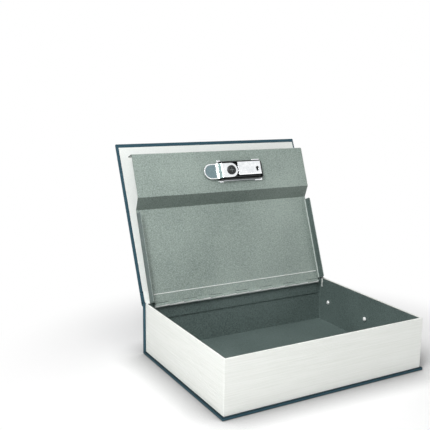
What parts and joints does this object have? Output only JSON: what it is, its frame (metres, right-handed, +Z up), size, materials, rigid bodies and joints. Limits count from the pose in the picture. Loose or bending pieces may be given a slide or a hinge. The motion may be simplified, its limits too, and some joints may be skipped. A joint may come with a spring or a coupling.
{
  "type": "book diversion safe",
  "caption": "Steel cash box with a number-lock lid, hidden in the page block of a cloth-bound book, shown open.",
  "frame": {"origin": "underside of the back board, below the middle of the page block", "axes": "+X along the hinge, +Y to the spine, +Z up, the book lying on its back board with the lid and cover open"},
  "size_m": [0.265, 0.2841, 0.2445],
  "materials": {
    "bookcloth": "dark teal bookcloth over board",
    "page_white": "white page edges, faintly lined",
    "paper_white": "matt white paper",
    "grey_paint": "grey hammered paint",
    "bright_steel": "bright steel",
    "chrome_plate": "polished chrome",
    "cast_grey": "cast, satin grey",
    "brass_trim": "polished brass",
    "dial_black": "black with white numbers",
    "dark_steel": "dark plated steel"
  },
  "bodies": {
    "safe": {"back_cover_board": "bookcloth", "spine_board": "bookcloth", "page_block": "page_white", "steel_box": "grey_paint", "left_wall_rivet_1": "bright_steel", "left_wall_rivet_2": "bright_steel", "left_wall_rivet_3": "bright_steel", "right_wall_rivet_1": "bright_steel", "right_wall_rivet_2": "bright_steel", "right_wall_rivet_3": "bright_steel", "box_hinge_leaf": "grey_paint", "hinge_pin": "bright_steel", "keeper_bracket": "grey_paint", "keeper_rivet_1": "bright_steel", "keeper_rivet_2": "bright_steel"},
    "lid": {"lid_panel": "grey_paint", "lid_hinge_leaf": "grey_paint", "lock_housing": "cast_grey", "front_trim": "brass_trim", "rear_trim": "brass_trim", "dial_shaft": "bright_steel", "detent_spring": "bright_steel", "lock_frame": "chrome_plate", "lock_cover_plate": "chrome_plate"},
    "first_dial": {"number_dial_1": "dial_black"},
    "second_dial": {"number_dial_2": "dial_black"},
    "third_dial": {"number_dial_3": "dial_black"},
    "latch": {"thumb_slide": "cast_grey", "slide_bar": "bright_steel", "latch_tongue": "chrome_plate", "tongue_screw": "dark_steel"},
    "reset": {"reset_lever": "dark_steel"},
    "joint_cloth": {"cover_joint_cloth": "bookcloth", "cover_joint_strip": "bookcloth"},
    "cover": {"front_cover_board": "bookcloth", "front_endpaper": "paper_white"}
  },
  "joints": [
    {"name": "lid_hinge", "type": "hinge", "parent": "safe", "child": "lid", "pos_m": [0, 0.0926, 0.06], "axis": [1, 0, 0], "range_deg": [0, 111.2]},
    {"name": "cover_joint_turn", "type": "hinge", "parent": "safe", "child": "joint_cloth", "pos_m": [0, 0.1005, 0.06295], "axis": [1, 0, 0], "range_deg": [0, 114]},
    {"name": "cover_hinge", "type": "hinge", "parent": "joint_cloth", "child": "cover", "pos_m": [0, 0.1094, 0.07273], "axis": [-1, 0, 0], "range_deg": [0, 77]},
    {"name": "first_dial_turn", "type": "hinge", "parent": "lid", "child": "first_dial", "pos_m": [-0.0014, 0.14304, 0.2083], "axis": [1, 0, 0], "continuous": true},
    {"name": "second_dial_turn", "type": "hinge", "parent": "lid", "child": "second_dial", "pos_m": [0.0093, 0.14304, 0.2083], "axis": [1, 0, 0], "continuous": true},
    {"name": "third_dial_turn", "type": "hinge", "parent": "lid", "child": "third_dial", "pos_m": [0.02, 0.14304, 0.2083], "axis": [1, 0, 0], "continuous": true},
    {"name": "latch_slide", "type": "slide", "parent": "lid", "child": "latch", "axis": [-1, 0, 0], "range_m": [0, 0.004]},
    {"name": "reset_slide", "type": "slide", "parent": "lid", "child": "reset", "axis": [0, -0.3616, -0.9323], "range_m": [0, 0.003]}
  ],
  "couplings": [
    {"joint": "cover_joint_turn", "follows": "lid_hinge", "ratio": 1.0251}
  ]
}
